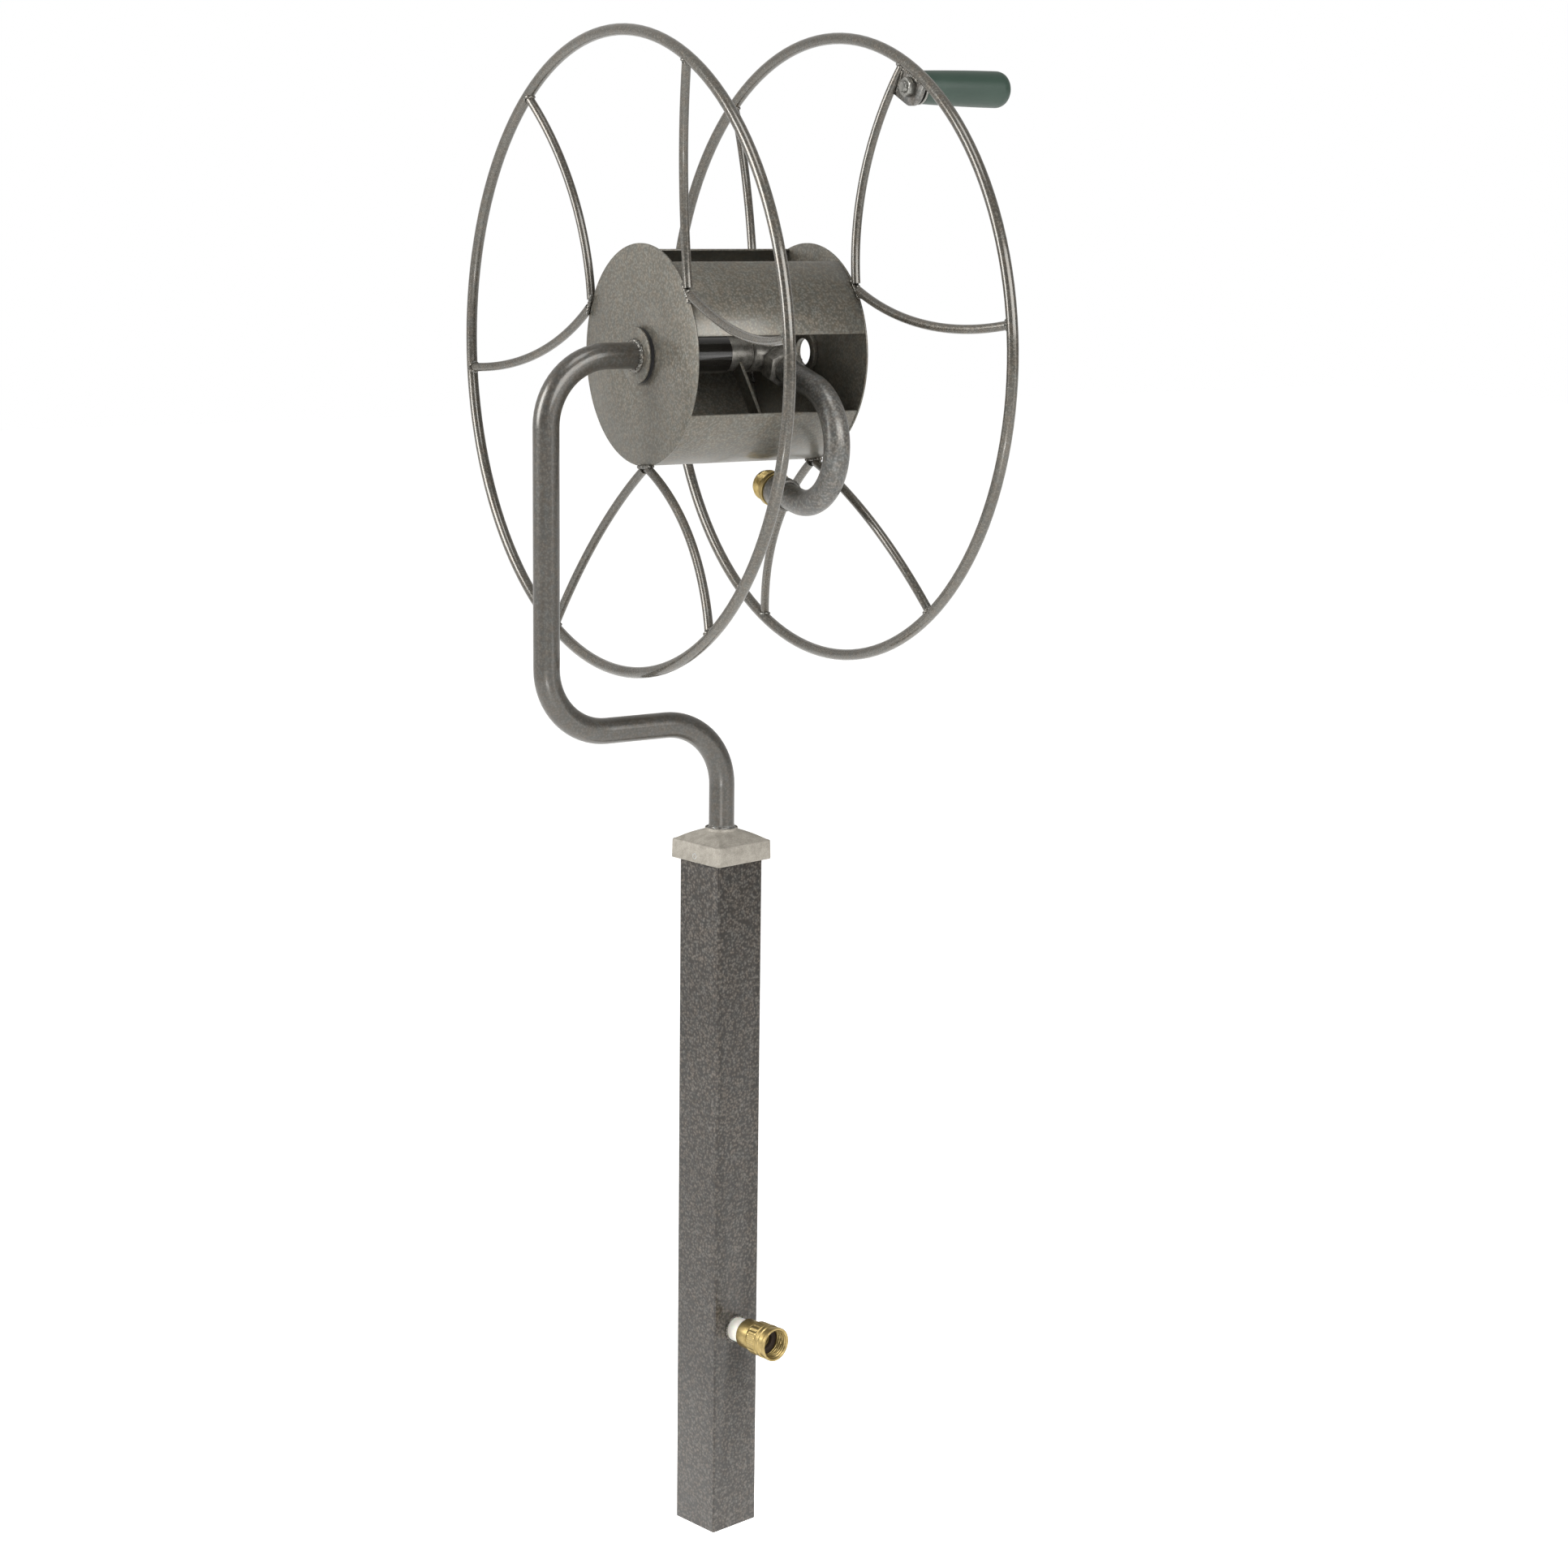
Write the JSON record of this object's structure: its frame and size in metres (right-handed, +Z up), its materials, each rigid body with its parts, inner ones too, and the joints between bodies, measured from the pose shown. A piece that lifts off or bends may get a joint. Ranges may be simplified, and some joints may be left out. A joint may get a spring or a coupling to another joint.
{
  "type": "garden hose reel",
  "caption": "In-ground swivel hose reel: a square post with a cast cap carries a cranked water-pipe arm and an open wire-wheeled reel with a drum, curled hose outlet and crank grip.",
  "frame": {"origin": "centre of the post's foot, on the plate that closes it", "axes": "+Z up the post, +X along the reel's axis towards the crank handle, front of the reel towards -Y; the post is turned 10.2 degrees about +Z against the reel, as its swivel allows"},
  "size_m": [0.3814, 0.5348, 1.3171],
  "materials": {
    "hammertone_steel": "silver-brown hammertone enamel on steel",
    "drum_sheet": "finer silver-brown hammertone enamel on sheet steel",
    "cast_cap": "as-cast, lightly tumbled",
    "plated_steel": "zinc plated",
    "spring_steel": "dark phosphate",
    "brass": "machined brass, slightly dulled",
    "white_nylon": "moulded nylon",
    "black_nylon": "moulded nylon",
    "black_rubber": "nitrile rubber",
    "swivel_casting": "grey enamel on a casting",
    "green_grip": "moulded green polymer, satin"
  },
  "bodies": {
    "post": {"post_tube": "hammertone_steel", "post_foot_plate": "hammertone_steel", "post_cap": "cast_cap", "cap_set_screws": "plated_steel", "cap_bush": "black_nylon", "riser_guide_block": "black_nylon", "post_union_body": "brass", "post_union_seals": "black_rubber", "post_union_screws": "plated_steel", "inlet_elbow": "brass", "supply_hose": "black_rubber", "hose_clamps": "plated_steel", "inlet_nipple": "white_nylon", "inlet_tailpiece": "brass"},
    "inlet_nut": {"inlet_swivel_nut": "brass", "inlet_washer": "black_rubber"},
    "arm": {"arm_pipe": "hammertone_steel", "arm_collar": "spring_steel", "riser_clip": "spring_steel", "arm_flange": "hammertone_steel", "thrust_washer": "black_nylon", "arm_clip": "spring_steel"},
    "reel": {"rim_left": "hammertone_steel", "rim_right": "hammertone_steel", "spoke_left_1": "hammertone_steel", "spoke_left_2": "hammertone_steel", "spoke_left_3": "hammertone_steel", "spoke_left_4": "hammertone_steel", "spoke_left_5": "hammertone_steel", "spoke_left_6": "hammertone_steel", "spoke_right_1": "hammertone_steel", "spoke_right_2": "hammertone_steel", "spoke_right_3": "hammertone_steel", "spoke_right_4": "hammertone_steel", "spoke_right_5": "hammertone_steel", "spoke_right_6": "hammertone_steel", "drum_disc_left": "drum_sheet", "drum_disc_right": "drum_sheet", "right_hub_ring": "drum_sheet", "drum_shell": "drum_sheet", "drum_front_plate": "drum_sheet", "hub_tube": "drum_sheet", "hub_bush_outer": "black_nylon", "hub_bush_inner": "black_nylon", "swivel_body": "swivel_casting", "swivel_seals": "black_rubber", "swivel_plug": "swivel_casting", "gland_nut": "swivel_casting", "swivel_bracket": "hammertone_steel", "outlet_tube": "hammertone_steel", "outlet_union_nut": "swivel_casting", "outlet_collar": "hammertone_steel", "outlet_hose_thread": "brass", "handle_lug": "hammertone_steel", "handle_nut": "plated_steel", "handle_spring_washer": "spring_steel", "handle_washer": "plated_steel", "handle_bolt": "plated_steel"},
    "grip": {"crank_grip": "green_grip"}
  },
  "joints": [
    {"name": "arm_swivel", "type": "hinge", "parent": "post", "child": "arm", "pos_m": [0, 0, 0.64], "axis": [0, 0, 1], "continuous": true},
    {"name": "reel_spin", "type": "hinge", "parent": "arm", "child": "reel", "pos_m": [0, 0, 1.0497], "axis": [1, 0, 0], "continuous": true},
    {"name": "grip_spin", "type": "hinge", "parent": "reel", "child": "grip", "pos_m": [0.113, -0.11699, 1.27019], "axis": [1, 0, 0], "continuous": true},
    {"name": "inlet_nut_spin", "type": "hinge", "parent": "post", "child": "inlet_nut", "pos_m": [0.01151, -0.06397, 0.1875], "axis": [0.1771, -0.9842, 0], "continuous": true}
  ]
}
